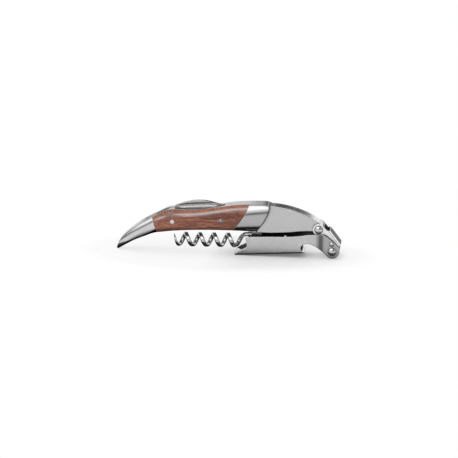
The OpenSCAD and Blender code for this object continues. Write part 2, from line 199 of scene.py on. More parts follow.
def steel(name, lo=0.50, hi=0.62, rough=(0.26, 0.40), grain=(0.35, 6.0, 6.0), bump=0.25, tint=(1.0, 1.0, 1.0), rot=(0, 0, 0), ao=(1.2, 0.12), rim=None, shade=None, under=None, inner=None, last=None):
    """Steel with a fine directional grain, small tone changes, faint hairlines, painted shade in crevices and slightly
    polished edges; the shade, under, inner and last options add more painted shade and painted reflection.
    """
    s = Mat(name)
    streak = s.noise(s.coords(grain, rot), 1.6, 4.0, 0.6)
    fine = s.noise(s.coords((grain[0] * 2.2, grain[1] * 2.0, grain[2] * 2.0), rot), 3.0, 2.0, 0.5)
    blotch = s.noise(s.coords((0.11, 0.16, 0.16)), 1.0, 3.0, 0.5)
    tone = s.math("ADD", s.math("MULTIPLY", streak, 0.55), s.math("MULTIPLY", blotch, 0.45))
    base = s.ramp(tone, [(0.28, tuple(lo * c for c in tint)), (0.72, tuple(hi * c for c in tint))])
    edge = s.edges(0.505, 0.56)
    base = s.mix(s.math("MULTIPLY", edge, 0.35), base, tuple(min(1.0, hi * 1.18) * c for c in tint))
    # Painted shade: the shade, under and inner masks darken the base where shade and dark reflections fall.
    if shade:
        base = s.mix(shade(s), base, tuple(0.15 * c for c in tint))
    if under:
        base = s.mix(s.facing("Z", under[0], under[1]), base, tuple(0.05 * c for c in tint))
    if inner:
        base = s.mix(1.0, base, s.inside(inner), "MULTIPLY")
    if last:
        base = last(s, base)
    # Painted shade: the crevice mask darkens the base in gaps and inside corners.
    if ao:
        base = s.mix(1.0, base, s.crevice(*ao), "MULTIPLY")
    r = s.remap(s.math("ADD", s.math("MULTIPLY", fine, 0.6), s.math("MULTIPLY", blotch, 0.4)), 0.3, 0.7, rough[0], rough[1])
    if rim:
        side = s.facing("Y", 0.45, 0.75)
        r = s.math("ADD", s.math("MULTIPLY", r, side), s.math("MULTIPLY", s.math("SUBTRACT", 1.0, side), rim))
    hair = s.noise(s.coords((0.08, 9.0, 9.0), rot), 2.0, 1.0, 0.4)
    h = s.math("ADD", fine, s.math("MULTIPLY", s.ramp(hair, [(0.60, 0.0), (0.68, 1.0)]), 0.6))
    return s.set(Base_Color=base, Metallic=1.0, Roughness=r, Normal=s.bump(h, bump, 0.012))


def spine_last(s, base):
    """Painted dark reflection: the spine's top faces are darker just behind the bright nose."""
    x = s.place("X")
    band = s.math("MULTIPLY", s.remap(x, 37.0, 42.0, 0.0, 1.0), s.remap(x, 46.5, 49.5, 1.0, 0.0))
    return s.mix(s.math("MULTIPLY", band, s.math("MULTIPLY", s.facing("Z", 0.55, 0.8), 0.8)), base, (0.20, 0.20, 0.205))


M = {}
M["brushed"] = steel("brushed_stainless", 0.58, 0.70, (0.30, 0.42), (3.0, 3.0, 0.7), 0.30, rim=0.15, inner=0.22, last=spine_last)


def jog_shade(s):
    """Painted dark reflection: the lever's cheeks are darker where they step outward, towards the eye."""
    x = s.place("X")
    up = s.remap(x, 49.9, 52.6, 0.0, 1.0)
    down = s.remap(x, 53.9, 56.0, 1.0, 0.0)
    band = s.math("MULTIPLY", up, s.math("MAXIMUM", down, 0.36))
    return s.math("MULTIPLY", band, s.math("MULTIPLY", s.facing("Y", 0.6, 0.9), 1.0))


M["lever"] = steel("brushed_lever", 0.555, 0.755, (0.28, 0.40), (3.0, 3.0, 0.7), 0.30, rim=0.15, shade=jog_shade, under=(-0.42, -0.75), inner=0.14)
M["satin"] = steel("satin_stainless", 0.48, 0.60, (0.13, 0.20), (0.5, 4.0, 4.0), 0.15, last=spine_last)
# Painted shade: the knuckle's darker base stands in for the shade of the gap between frame and lever where it sits.
M["knuckle"] = steel("dull_knuckle_steel", 0.34, 0.46, (0.22, 0.34), (0.5, 4.0, 4.0), 0.20, ao=(2.0, 0.06))


def tail_last(s, base):
    """Painted shade: the tail caps darken softly towards their lower edge."""
    x = s.place("X")
    reach = s.remap(x, -64.0, -50.0, 1.0, 2.4)
    band = s.remap(s.math("DIVIDE", s.stored("rise"), reach), 1.25, 0.45, 0.0, 0.94)
    return s.mix(band, base, 0.035)


# Painted light: the tail caps use a lighter copy of the collars' polished steel.
M["polished"] = steel("polished_stainless", 0.64, 0.76, (0.11, 0.18), (0.25, 4.0, 4.0), 0.08, under=(-0.30, -0.70), last=tail_last)


def collar_last(s, base):
    """Painted shade: a dark step line along the collar's hinge-side edge, and a painted darker reflection on the crown.
    """
    base = s.mix(s.remap(s.stored("edge"), 0.75, 0.35, 0.0, 0.93), base, 0.03)
    return s.mix(s.math("MULTIPLY", s.remap(s.stored("drop"), 1.1, 0.5, 0.0, 1.0), 0.5), base, 0.22)


# Painted shade: the collars use a darker copy of the tail caps' polished steel.
M["collar"] = steel("polished_collar", 0.44, 0.53, (0.11, 0.18), (0.25, 4.0, 4.0), 0.08, ao=(1.6, 0.05), under=(-0.27, -0.60), last=collar_last)


def dome_last(s, base):
    """Painted dark reflection: domed pin heads are darker towards their rims and underneath."""
    rim = s.math("SUBTRACT", 1.0, s.facing("Y", 0.80, 0.90))
    base = s.mix(s.math("MULTIPLY", rim, 0.82), base, (0.07, 0.07, 0.075))
    return s.mix(s.math("MULTIPLY", s.facing("Z", -0.04, -0.30), 0.70), base, (0.06, 0.06, 0.065))


M["bright"] = steel("bright_pin_steel", 0.66, 0.78, (0.10, 0.16), (2.0, 2.0, 2.0), 0.08, ao=(1.4, 0.10, 1.4), tint=(0.98, 1.0, 1.03), last=dome_last)
M["rivet"] = steel("dull_rivet_steel", 0.32, 0.44, (0.12, 0.20), (2.0, 2.0, 2.0), 0.10, tint=(0.84, 0.92, 1.08))


def scoop_painted_reflection(s, base):
    """Painted reflection: the upper wall of the thumb groove gets a warm tone standing in for the reflected wood; the
    blade is darker near the frame by painted shade from its crevice mask.
    """
    wall = s.math("MULTIPLY", s.facing("Z", -0.06, -0.30), s.facing("Y", 0.4, 0.7))
    return s.mix(s.math("MULTIPLY", wall, 0.9), base, (0.40, 0.315, 0.29))


M["blade"] = steel("ground_blade_steel", 0.40, 0.52, (0.10, 0.17), (0.3, 5.0, 5.0), 0.10, ao=(1.8, 0.02, 2.0), last=scoop_painted_reflection)


def web_last(s, base):
    """Painted dark reflection: the link's outer web gets a darker base and a weaker specular tint between its bright
    folds.
    """
    web = s.facing("X", 0.60, 0.76)
    s.link(s.ramp(web, [(0.0, 1.0), (1.0, 0.50)]), s.b.inputs["Specular Tint"])
    return s.mix(s.math("MULTIPLY", web, 0.95), base, (0.27, 0.27, 0.275))


M["link"] = steel("tumbled_link_steel", 0.86, 0.95, (0.14, 0.22), (0.6, 3.0, 3.0), 0.12, ao=(2.0, 0.04), last=web_last)
M["spring"] = steel("spring_steel", 0.30, 0.40, (0.35, 0.5), (0.4, 4.0, 4.0), 0.25)
M["worm"] = steel("drawn_wire_steel", 0.66, 0.80, (0.09, 0.16), (2.0, 2.0, 2.0), 0.10, ao=(0.8, 0.25))
M["dark"] = steel("dark_pin_end", 0.14, 0.22, (0.35, 0.5), (2.0, 2.0, 2.0), 0.2)
M["brass"] = steel("turned_brass", 0.62, 0.74, (0.25, 0.4), (3.0, 1.0, 3.0), 0.2, tint=(1.0, 0.76, 0.42))


def wood(name):
    s = Mat(name)
    wob = s.noise(s.coords((0.035, 0.12, 0.12)), 1.0, 2.0, 0.5)
    drop = s.stored("drop")
    base = s.coords((0.040, 0.50, 0.50), (0.0, math.radians(-4.0), 0.0))
    bands = s.noise(base, 1.0, 5.0, 0.62, 0.35)
    fibre = s.noise(s.coords((0.11, 3.2, 3.2), (0.0, math.radians(-4.0), 0.0)), 1.0, 3.0, 0.6)
    col = s.ramp(bands, [(0.28, (0.120, 0.030, 0.017)), (0.42, (0.250, 0.072, 0.040)), (0.52, (0.370, 0.125, 0.074)), (0.63, (0.460, 0.180, 0.112)), (0.75, (0.280, 0.085, 0.048))])
    col = s.mix(s.remap(wob, 0.35, 0.65, 0.0, 0.35), col, (0.40, 0.130, 0.060))
    dark = s.ramp(fibre, [(0.36, 1.0), (0.52, 0.0)])
    col = s.mix(s.math("MULTIPLY", dark, 0.70), col, (0.075, 0.020, 0.012))
    streak = s.noise(s.coords((0.10, 1.15, 1.15), (0.0, math.radians(-4.0), 0.0), (3.0, 1.0, 7.0)), 1.0, 2.5, 0.6, 0.3)
    col = s.mix(s.ramp(streak, [(0.52, 0.0), (0.64, 0.68)]), col, (0.105, 0.030, 0.017))
    col = s.mix(s.ramp(streak, [(0.34, 0.65), (0.45, 0.0)]), col, (0.62, 0.235, 0.130))
    knots = s.noise(s.coords((0.30, 0.85, 0.85), (0.0, math.radians(-4.0), 0.0), (11.0, 2.0, 1.0)), 1.0, 2.0, 0.5)
    col = s.mix(s.ramp(knots, [(0.62, 0.0), (0.70, 0.8)]), col, (0.060, 0.018, 0.011))
    pore = s.noise(s.coords((0.42, 6.5, 6.5), (0.0, math.radians(-4.0), 0.0)), 1.0, 1.5, 0.5)
    pores = s.ramp(pore, [(0.57, 0.0), (0.65, 1.0)])
    col = s.mix(s.math("MULTIPLY", pores, 0.85), col, (0.045, 0.013, 0.008))
    # Top strip along the upper edge: the wood's cut edge with specks, partly painted light that makes the top face
    # lighter and more orange.
    speck = s.noise(s.coords((1.3, 2.2, 2.2)), 1.0, 2.0, 0.5)
    top_strip_grain_and_light = s.ramp(speck, [(0.40, (0.17, 0.056, 0.032)), (0.50, (0.38, 0.145, 0.082)), (0.62, (0.54, 0.23, 0.14))])
    col = s.mix(s.remap(drop, 2.0, 1.1, 0.0, 0.75), col, top_strip_grain_and_light)
    # Painted shade on the downward faces of the scales.
    col = s.mix(s.math("MULTIPLY", s.facing("Z", -0.30, -0.60), 0.9), col, (0.045, 0.012, 0.008))
    # Painted shade in gaps and inside corners.
    col = s.mix(1.0, col, s.crevice(0.8, 0.35), "MULTIPLY")
    rough = s.remap(fibre, 0.3, 0.7, 0.30, 0.46)
    h = s.math("SUBTRACT", s.math("MULTIPLY", fibre, 0.5), s.math("MULTIPLY", pores, 1.0))
    sheen = s.math("MULTIPLY", s.math("MULTIPLY", s.remap(drop, 1.2, 2.0, 0.0, 1.0), s.remap(drop, 4.0, 2.4, 0.0, 1.0)), s.remap(s.place("X"), -42.0, -33.0, 0.75, 1.0))
    s.link(s.remap(sheen, 0.0, 1.0, 0.30, 1.0), s.b.inputs["Coat Weight"])
    s.link(s.remap(sheen, 0.0, 1.0, 1.40, 2.5), s.b.inputs["Coat IOR"])
    s.b.inputs["Coat Roughness"].default_value = 0.22
    return s.set(Base_Color=col, Roughness=rough, Normal=s.bump(h, 0.35, 0.03))


M["wood"] = wood("oiled_rosewood")


# ---------------------------------------------------------------- mesh helpers
def new_object(name, bm, mat, body, smooth=True):
    bmesh.ops.recalc_face_normals(bm, faces=bm.faces[:])
    me = bpy.data.meshes.new(name)
    bm.to_mesh(me)
    bm.free()
    for p in me.polygons:
        p.use_smooth = smooth
    o = bpy.data.objects.new(name, me)
    scene.collection.objects.link(o)
    me.materials.append(mat)
    w = o.modifiers.new("weighted", "WEIGHTED_NORMAL")
    w.keep_sharp = True
    w.weight = 80
    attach(o, body)
    return o


def catmull(p, n):
    out = []
    g = lambda i: p[min(max(i, 0), len(p) - 1)]
    for i in range(len(p) - 1):
        a, b, c, d = g(i - 1), g(i), g(i + 1), g(i + 2)
        for k in range(n):
            t = k / n
            out.append(tuple(0.5 * (2 * b[j] + (c[j] - a[j]) * t + (2 * a[j] - 5 * b[j] + 4 * c[j] - d[j]) * t * t
                                    + (3 * b[j] - a[j] - 3 * c[j] + d[j]) * t ** 3) for j in range(2)))
    return out + [tuple(p[-1])]


class Path:
    """A polyline read by its length from 0 to 1."""

    def __init__(self, pts):
        self.p = pts
        self.s = [0.0]
        for a, b in zip(pts, pts[1:]):
            self.s.append(self.s[-1] + math.hypot(b[0] - a[0], b[1] - a[1]))

    def __call__(self, u):
        L = self.s[-1] * min(max(u, 0.0), 1.0)
        lo, hi = 0, len(self.s) - 1
        while hi - lo > 1:
            m = (lo + hi) // 2
            if self.s[m] <= L:
                lo = m
            else:
                hi = m
        f = (L - self.s[lo]) / max(self.s[hi] - self.s[lo], 1e-9)
        a, b = self.p[lo], self.p[hi]
        return (a[0] + (b[0] - a[0]) * f, a[1] + (b[1] - a[1]) * f)


UPPER = [(-64.8, 0.8), (-62.85, 5.4), (-58.9, 10.25), (-51.5, 15.75), (-43.9, 20.0), (-36.5, 23.9), (-32.4, 25.1),
         (-24, 25.0), (-15.6, 25.6), (-6, 27.2), (4.2, 28.85), (12, 29.5), (18, 29.65), (21.8, 29.55), (23.6, 28.95), (28, 28.65), (33.8, 27.7),
         (40.0, 26.0), (46.3, 23.5), (50.6, 21.1), (53.35, 19.15)]
LOWER = [(48.85, 15.2), (41.1, 14.8), (34.9, 14.0), (25.5, 13.4), (19.3, 13.4), (15.0, 13.6), (3.0, 14.0),
         (-16.2, 13.75), (-30.6, 12.8), (-37.8, 11.8), (-42.7, 11.0), (-48.2, 8.9), (-53.9, 6.3), (-59.4, 3.0), (-63.8, 0.02)]
UP = catmull(UPPER, 24)
LO = catmull(LOWER, 24)[::-1]


def height(curve):
    def f(x):
        if x <= curve[0][0]:
            return curve[0][1]
        for a, b in zip(curve, curve[1:]):
            if a[0] <= x <= b[0]:
                return a[1] + (b[1] - a[1]) * (x - a[0]) / max(b[0] - a[0], 1e-9)
        return curve[-1][1]
    return f


z_up, z_lo = height(UP), height(LO)


def clip_line(pts):
    """The part of a crossing line between the handle's lower and upper edges, from bottom to top."""
    d = Path(pts)
    s = [d(k / 600) for k in range(601)]
    s = [p for p in s if z_lo(p[0]) - 1e-6 <= p[1] <= z_up(p[0]) + 1e-6]
    if s[0][1] > s[-1][1]:
        s = s[::-1]
    return Path(s)


TAIL_LINE = clip_line([(-44.5, 23.9), (-43.6, 20.9), (-40.8, 11.4), (-40.2, 9.4)])
SCALE_LINE = clip_line(catmull([(12.5, 32), (12.3, 30.5), (11.3, 27.1), (10.0, 24.3), (8.2, 21.4), (6.1, 18.2), (3.0, 14.5), (1.8, 12.9)], 12))
COLLAR_LINE = clip_line(catmull([(24.0, 32), (23.95, 30.5), (23.6, 26.5), (22.3, 22.8), (20.4, 19.3), (18.2, 16.3), (16.4, 13.2), (16.0, 12.4)], 12))

BELLY = 7.2
HALF = 4.7


def side_surface(x, z, grow=0.0):
    r = 7.8 + (x + 42) * 0.124
    zc = 15.7 + (x + 47) * 8.1 / 77
    c = math.cos(math.atan2(8.1, 77))
    q = r * r - ((z - zc) * c) ** 2
    return BELLY + grow - r + math.sqrt(max(q, 0.01))


TAIL_PROFILE = catmull([(0, 1.4), (1.2, 1.9), (6.6, 3.9), (13.2, 5.8), (20.5, 7.3), (27.7, 8.05), (37, 8.2), (40, 8.2)], 16)
tail_r = height(TAIL_PROFILE)


def tail_surface(x, z):
    a = math.radians(56.06)
    t = (x + 68) * math.sin(a) + (z + 0.85) * math.cos(a)
    p = (x + 68) * math.cos(a) - (z + 0.85) * math.sin(a)
    r = tail_r(t)
    return max(BELLY - 8.2 + math.sqrt(max(r * r - p * p, 0.02)), 0.35)


def edge_params(n, length, r, k=5):
    """Positions from 0 to 1 that are dense inside a rounded edge of radius r at both ends."""
    r = min(r, 0.42 * length)
    e = [r * (1 - math.cos(math.radians(90 * i / k))) / length for i in range(k + 1)]
    mid = [e[-1] + (1 - 2 * e[-1]) * i / n for i in range(1, n)]
    return e + mid + [1 - v for v in e[::-1]]


def cover(name, side, surf, left, right, y_in, mat, body, r=0.40, r_side=0.25, nu=90, nv=40, inner_step=None, lift=None):
    """A shaped side piece: its outer face follows surf, its rims are rounded, its inner face is flat."""
    L0, L1, R0, R1 = left(0), left(1), right(0), right(1)
    bm = bmesh.new()
    drop, edge, rise = (bm.verts.layers.float.new(k) for k in ("drop", "edge", "rise"))
    us = edge_params(nu, 0.5 * (math.dist(L0, R0) + math.dist(L1, R1)), r_side)
    outer, inner = [], []
    for u in us:
        xb = L0[0] + (R0[0] - L0[0]) * u
        xt = L1[0] + (R1[0] - L1[0]) * u
        B, T = (xb, z_lo(xb)), (xt, z_up(xt))
        h = max(math.dist(B, T), 0.3)
        co, ci = [], []
        for v in edge_params(nv, h, r):
            lv, rv = left(v), right(v)
            x = (1 - v) * B[0] + v * T[0] + (1 - u) * lv[0] + u * rv[0] - ((1 - u) * (1 - v) * L0[0] + u * (1 - v) * R0[0] + (1 - u) * v * L1[0] + u * v * R1[0])
            z = (1 - v) * B[1] + v * T[1] + (1 - u) * lv[1] + u * rv[1] - ((1 - u) * (1 - v) * L0[1] + u * (1 - v) * R0[1] + (1 - u) * v * L1[1] + u * v * R1[1])
            re = min(r, 0.42 * h)
            d1 = min(v, 1 - v) * h
            W = 0.5 * (math.dist(L0, R0) + math.dist(L1, R1))
            d2 = min(u, 1 - u) * W
            a = max(re - d1, 0.0) / re
            b = max(r_side - d2, 0.0) / r_side
            q = min(a * a + b * b, 1.0)
            rr = re if a >= b else r_side
            y = surf(x, z) - rr * (1 - math.sqrt(1 - q))
            yi = y_in(x)
            y = max(y, yi + 0.05)
            if lift:
                x, z = lift(x, z)
            co.append(bm.verts.new((x * MM, side * y * MM, z * MM)))
            ci.append(bm.verts.new((x * MM, side * yi * MM, z * MM)))
            for vert in (co[-1], ci[-1]):
                vert[drop] = (1 - v) * h
                vert[rise] = v * h
                vert[edge] = (1 - u) * W
        outer.append(co)
        inner.append(ci)
    n, m = len(us), len(outer[0])
    for i in range(n - 1):
        for j in range(m - 1):
            bm.faces.new((outer[i][j], outer[i + 1][j], outer[i + 1][j + 1], outer[i][j + 1]))
            bm.faces.new((inner[i][j], inner[i][j + 1], inner[i + 1][j + 1], inner[i + 1][j]))
    for i in range(n - 1):
        bm.faces.new((outer[i][0], inner[i][0], inner[i + 1][0], outer[i + 1][0]))
        bm.faces.new((outer[i][m - 1], outer[i + 1][m - 1], inner[i + 1][m - 1], inner[i][m - 1]))
    for j in range(m - 1):
        bm.faces.new((outer[0][j], outer[0][j + 1], inner[0][j + 1], inner[0][j]))
        bm.faces.new((outer[n - 1][j], inner[n - 1][j], inner[n - 1][j + 1], outer[n - 1][j + 1]))
    return new_object(name, bm, mat, body)


def plate(name, outline, y0, y1, r0, r1, mat, body, slot, k=4):
    """A flat plate with the outline in XZ, from y0 to y1, its rims rounded by r0 at y0 and r1 at y1."""
    pts = [p for i, p in enumerate(outline) if math.dist(p, outline[i - 1]) > 1e-4]
    area = sum(a[0] * b[1] - b[0] * a[1] for a, b in zip(pts, pts[1:] + pts[:1]))
    if area < 0:
        pts = pts[::-1]
    n = len(pts)
    nrm = []
    for i in range(n):
        a, b, c = pts[i - 1], pts[i], pts[(i + 1) % n]
        e1 = Vector((b[0] - a[0], b[1] - a[1])).normalized()
        e2 = Vector((c[0] - b[0], c[1] - b[1])).normalized()
        m = Vector((-(e1.y + e2.y), e1.x + e2.x))
        m = m.normalized() if m.length > 1e-6 else Vector((-e1.y, e1.x))
        cosh = max(m.dot(Vector((-e1.y, e1.x))), 0.5)
        nrm.append(m / cosh)
    rings = []
    for i in range(k + 1):
        th = math.radians(90 * i / k)
        rings.append((y0 + r0 * (1 - math.sin(th)), r0 * (1 - math.cos(th))))
    rings = rings[::-1]
    for i in range(k + 1):
        th = math.radians(90 * i / k)
        rings.append((y1 - r1 * (1 - math.sin(th)), r1 * (1 - math.cos(th))))
    rings = [(y0, r0)] * 0 + rings
    bm = bmesh.new()
    loops = []
    seen = []
    # order: y0 face (inset r0) ... side ... y1 face (inset r1)
    prof = []
    for i in range(k + 1):
        th = math.radians(90 * i / k)
        prof.append((y0 + r0 * (1 - math.sin(th)), r0 * (1 - math.sin(math.radians(90) - th))))
    prof = [(y0 + r0 * (1 - math.cos(math.radians(90 * i / k))), r0 * (1 - math.sin(math.radians(90 * i / k)))) for i in range(k + 1)]
    prof += [(y1 - r1 * (1 - math.cos(math.radians(90 * i / k))), r1 * (1 - math.sin(math.radians(90 * i / k)))) for i in range(k, -1, -1)]
    for y, ins in prof:
        loops.append([bm.verts.new(((p[0] + q.x * ins) * MM, y * MM, (p[1] + q.y * ins) * MM)) for p, q in zip(pts, nrm)])
    for a, b in zip(loops, loops[1:]):
        for i in range(n):
            bm.faces.new((a[i], a[(i + 1) % n], b[(i + 1) % n], b[i]))
    bm.faces.new(loops[0][::-1])
    bm.faces.new(loops[-1])
    return new_object(name, bm, mat, body)


def lathe(bm, pos, prof, n=48):
    """Adds a solid of revolution about the Y line through pos; prof is (radius, y) from one end to the other."""
    rows = []
    for r, y in prof:
        if r < 1e-6:
            rows.append([bm.verts.new((pos[0] * MM, y * MM, pos[1] * MM))])
        else:
            rows.append([bm.verts.new(((pos[0] + r * math.cos(2 * math.pi * k / n)) * MM, y * MM, (pos[1] + r * math.sin(2 * math.pi * k / n)) * MM)) for k in range(n)])
    for a, b in zip(rows, rows[1:]):
        for k in range(n):
            k2 = (k + 1) % n
            if len(a) == 1:
                bm.faces.new((a[0], b[k2], b[k]))
            elif len(b) == 1:
                bm.faces.new((a[k], a[k2], b[0]))
            else:
                bm.faces.new((a[k], a[k2], b[k2], b[k]))


def head_profile(shank, y_face, head, lift, rim=0.12, steps=7):
    """One end of a pin: shank radius, the face it sits on, head radius and dome height, going outward."""
    out = [(shank, y_face)]
    if head > shank:
        out.append((head - 0.02, y_face))
    out.append((head, y_face + rim * 0.5))
    out.append((head - rim * 0.15, y_face + rim))
    rs = (head * head + (lift - rim) ** 2) / (2 * (lift - rim)) if lift > rim else 1e3
    for k in range(1, steps + 1):
        r = (head - rim * 0.15) * (1 - k / steps)
        yy = y_face + rim + (math.sqrt(max(rs * rs - r * r, 0)) - math.sqrt(max(rs * rs - (head - rim * 0.15) ** 2, 0)))
        out.append((r, yy))
    return out


def pin(name, pos, shank, y_face, head, lift, mat, body, rim=0.12):
    up = head_profile(shank, y_face, head, lift, rim)
    prof = [(r, -y) for r, y in up[::-1]] + up
    bm = bmesh.new()
    lathe(bm, pos, prof)
    return new_object(name, bm, mat, body)


# ---------------------------------------------------------------- handle covers
TIP = Path([(-63.8, 0.02), (-64.3, 0.35), (-64.8, 0.8)])
for side, tag in ((-1, "front"), (1, "back")):
    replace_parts(cover("tail_cap_" + tag + "_shape", side, tail_surface, TIP, TAIL_LINE, lambda x: 0.0 if x < -47.02 else HALF, M["polished"], "frame",
                      r=0.50, r_side=0.10, nu=110, nv=36), "tail_cap_" + tag)
    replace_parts(cover("scale_" + tag + "_shape", side, side_surface, TAIL_LINE, SCALE_LINE, lambda x: HALF, M["wood"], "frame",
                      r=0.55, r_side=0.06, nu=160, nv=40), "scale_" + tag)
    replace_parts(cover("collar_" + tag + "_shape", side, lambda x, z: side_surface(x, z, 0.08), SCALE_LINE, COLLAR_LINE, lambda x: HALF, M["collar"], "frame",
                      r=0.45, r_side=0.16, nu=60, nv=44), "collar_" + tag)

# ---------------------------------------------------------------- worm
COIL_R, WIRE_R, PITCH = 3.15, 1.25, 8.13


def smooth01(t):
    u = min(max(t, 0.0), 1.0)
    return u * u * (3 - 2 * u)


def worm_x(n):
    if n < -0.5:
        return -24.5 - 0.5 * PITCH + (n + 0.5) * 6.0
    if n <= 3.5:
        return -24.5 + n * PITCH
    return -24.5 + 3.5 * PITCH + (n - 3.5) * 14.5 - 0.9 * smooth01((n - 3.5) / 0.25)


def worm_pt(n):
    x, a, w = worm_x(n), 2 * math.pi * n, smooth01((n - 3.65) / 0.5)
    zc = 7.2 + 0.018 * x
    return Vector((x, -COIL_R * math.sin(a) * (1 - w), zc + COIL_R * math.cos(a) * (1 - w) + w * (11.0 - zc)))


def worm_mesh():
    bm = bmesh.new()
    m, rings, n = 32, [], -1.0
    steps = []
    while n < -0.4:
        steps.append(n)
        n += 0.0125
    while n < 4.33:
        steps.append(n)
        n += 1 / 56
    steps.append(4.34)
    for n in steps:
        c = worm_pt(n)
        t = (worm_pt(n + 0.004) - worm_pt(n - 0.004)).normalized()
        o = Vector((0, c.y, c.z - (7.2 + 0.018 * c.x)))
        u = (o - t * o.dot(t)).normalized()
        v = t.cross(u)
        r = WIRE_R * min(1.0, 0.10 + 0.90 * (max(n + 1, 0) / 0.62) ** 0.8)
        g = 0.15 * smooth01((n + 0.75) / 0.5) * (1 - smooth01((n - 3.6) / 0.35))
        ring = []
        for j in range(m):
            th = 2 * math.pi * j / m
            d = math.atan2(math.sin(th), math.cos(th))
            rr = r * (1 - g * math.exp(-(d / 0.36) ** 2))
            ring.append(bm.verts.new((c + rr * (math.cos(th) * u + math.sin(th) * v)) * MM))
        rings.append(ring)
    for a, b in zip(rings, rings[1:]):
        for j in range(m):
            j2 = (j + 1) % m
            bm.faces.new((a[j], a[j2], b[j2], b[j]))
    bm.faces.new(rings[0])
    bm.faces.new(rings[-1][::-1])
    return bm


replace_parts(new_object("worm_coil", worm_mesh(), M["worm"], "worm"), "worm_wire")

# ---------------------------------------------------------------- pins
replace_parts(pin("link_pin_domed", (51.8, 16.4), 1.6, 5.93, 2.4, 1.1, M["bright"], "frame", 0.30), "link_pin")
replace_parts(pin("lever_pin_domed", (59.75, 4.35), 1.6, 7.66, 2.4, 1.05, M["bright"], "lever", 0.28), "lever_pin")
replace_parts(pin("stop_pin_domed", (59.5, 8.75), 0.75, 7.66, 1.35, 0.70, M["bright"], "lever", 0.20), "stop_pin")
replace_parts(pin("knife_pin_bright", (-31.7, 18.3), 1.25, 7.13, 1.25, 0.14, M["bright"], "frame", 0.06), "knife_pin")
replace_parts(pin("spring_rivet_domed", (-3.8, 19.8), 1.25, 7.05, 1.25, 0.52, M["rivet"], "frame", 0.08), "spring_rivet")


# ---------------------------------------------------------------- carried-over CAD nodes
def dress(node, mat, voxel=0.2, soften=4, keep=0.3):
    """A carried-over CAD node: its own material, and its rims softened by a fine remesh that leaves flat faces flat."""
    o = NODES[node]
    o.data.materials.clear()
    o.data.materials.append(mat)
    for p in o.data.polygons:
        p.use_smooth = True
    if voxel:
        r = o.modifiers.new("remesh", "REMESH")
        r.mode = "VOXEL"
        r.voxel_size = voxel * MM
        r.use_smooth_shade = True
        m = o.modifiers.new("soften", "SMOOTH")
        m.factor = 0.5
        m.iterations = soften
        d = o.modifiers.new("thin", "DECIMATE")
        d.decimate_type = "COLLAPSE"
        d.ratio = keep
    w = o.modifiers.new("weighted", "WEIGHTED_NORMAL")
    w.keep_sharp = True
    w.weight = 60


for node, key, voxel, soften, keep in (
        ("frame_plate_front", "brushed", 0.20, 4, 0.30), ("frame_plate_back", "brushed", 0.20, 4, 0.30), ("tail_spacer", "satin", 0.15, 3, 0.4),
        ("back_spacer", "satin", 0.18, 2, 0.4), ("spine_stud", "dark", 0, 0, 1), ("worm_pin", "satin", 0, 0, 1), ("tail_rivets", "satin", 0, 0, 1),
        ("collar_rivets", "satin", 0, 0, 1), ("spacer_dowels", "satin", 0, 0, 1), ("knife_blade", "blade", 0.12, 3, 0.35),
        ("knife_washers", "brass", 0, 0, 1), ("knife_spring", "spring", 0.2, 3, 0.3), ("worm_knuckle", "knuckle", 0.14, 4, 0.4),
        ("worm_washers", "brass", 0, 0, 1), ("link", "link", 0.12, 3, 0.35), ("lever", "lever", 0.18, 3, 0.30), ("lever_washers", "brass", 0, 0, 1)):
    dress(node, M[key], voxel, soften, keep)

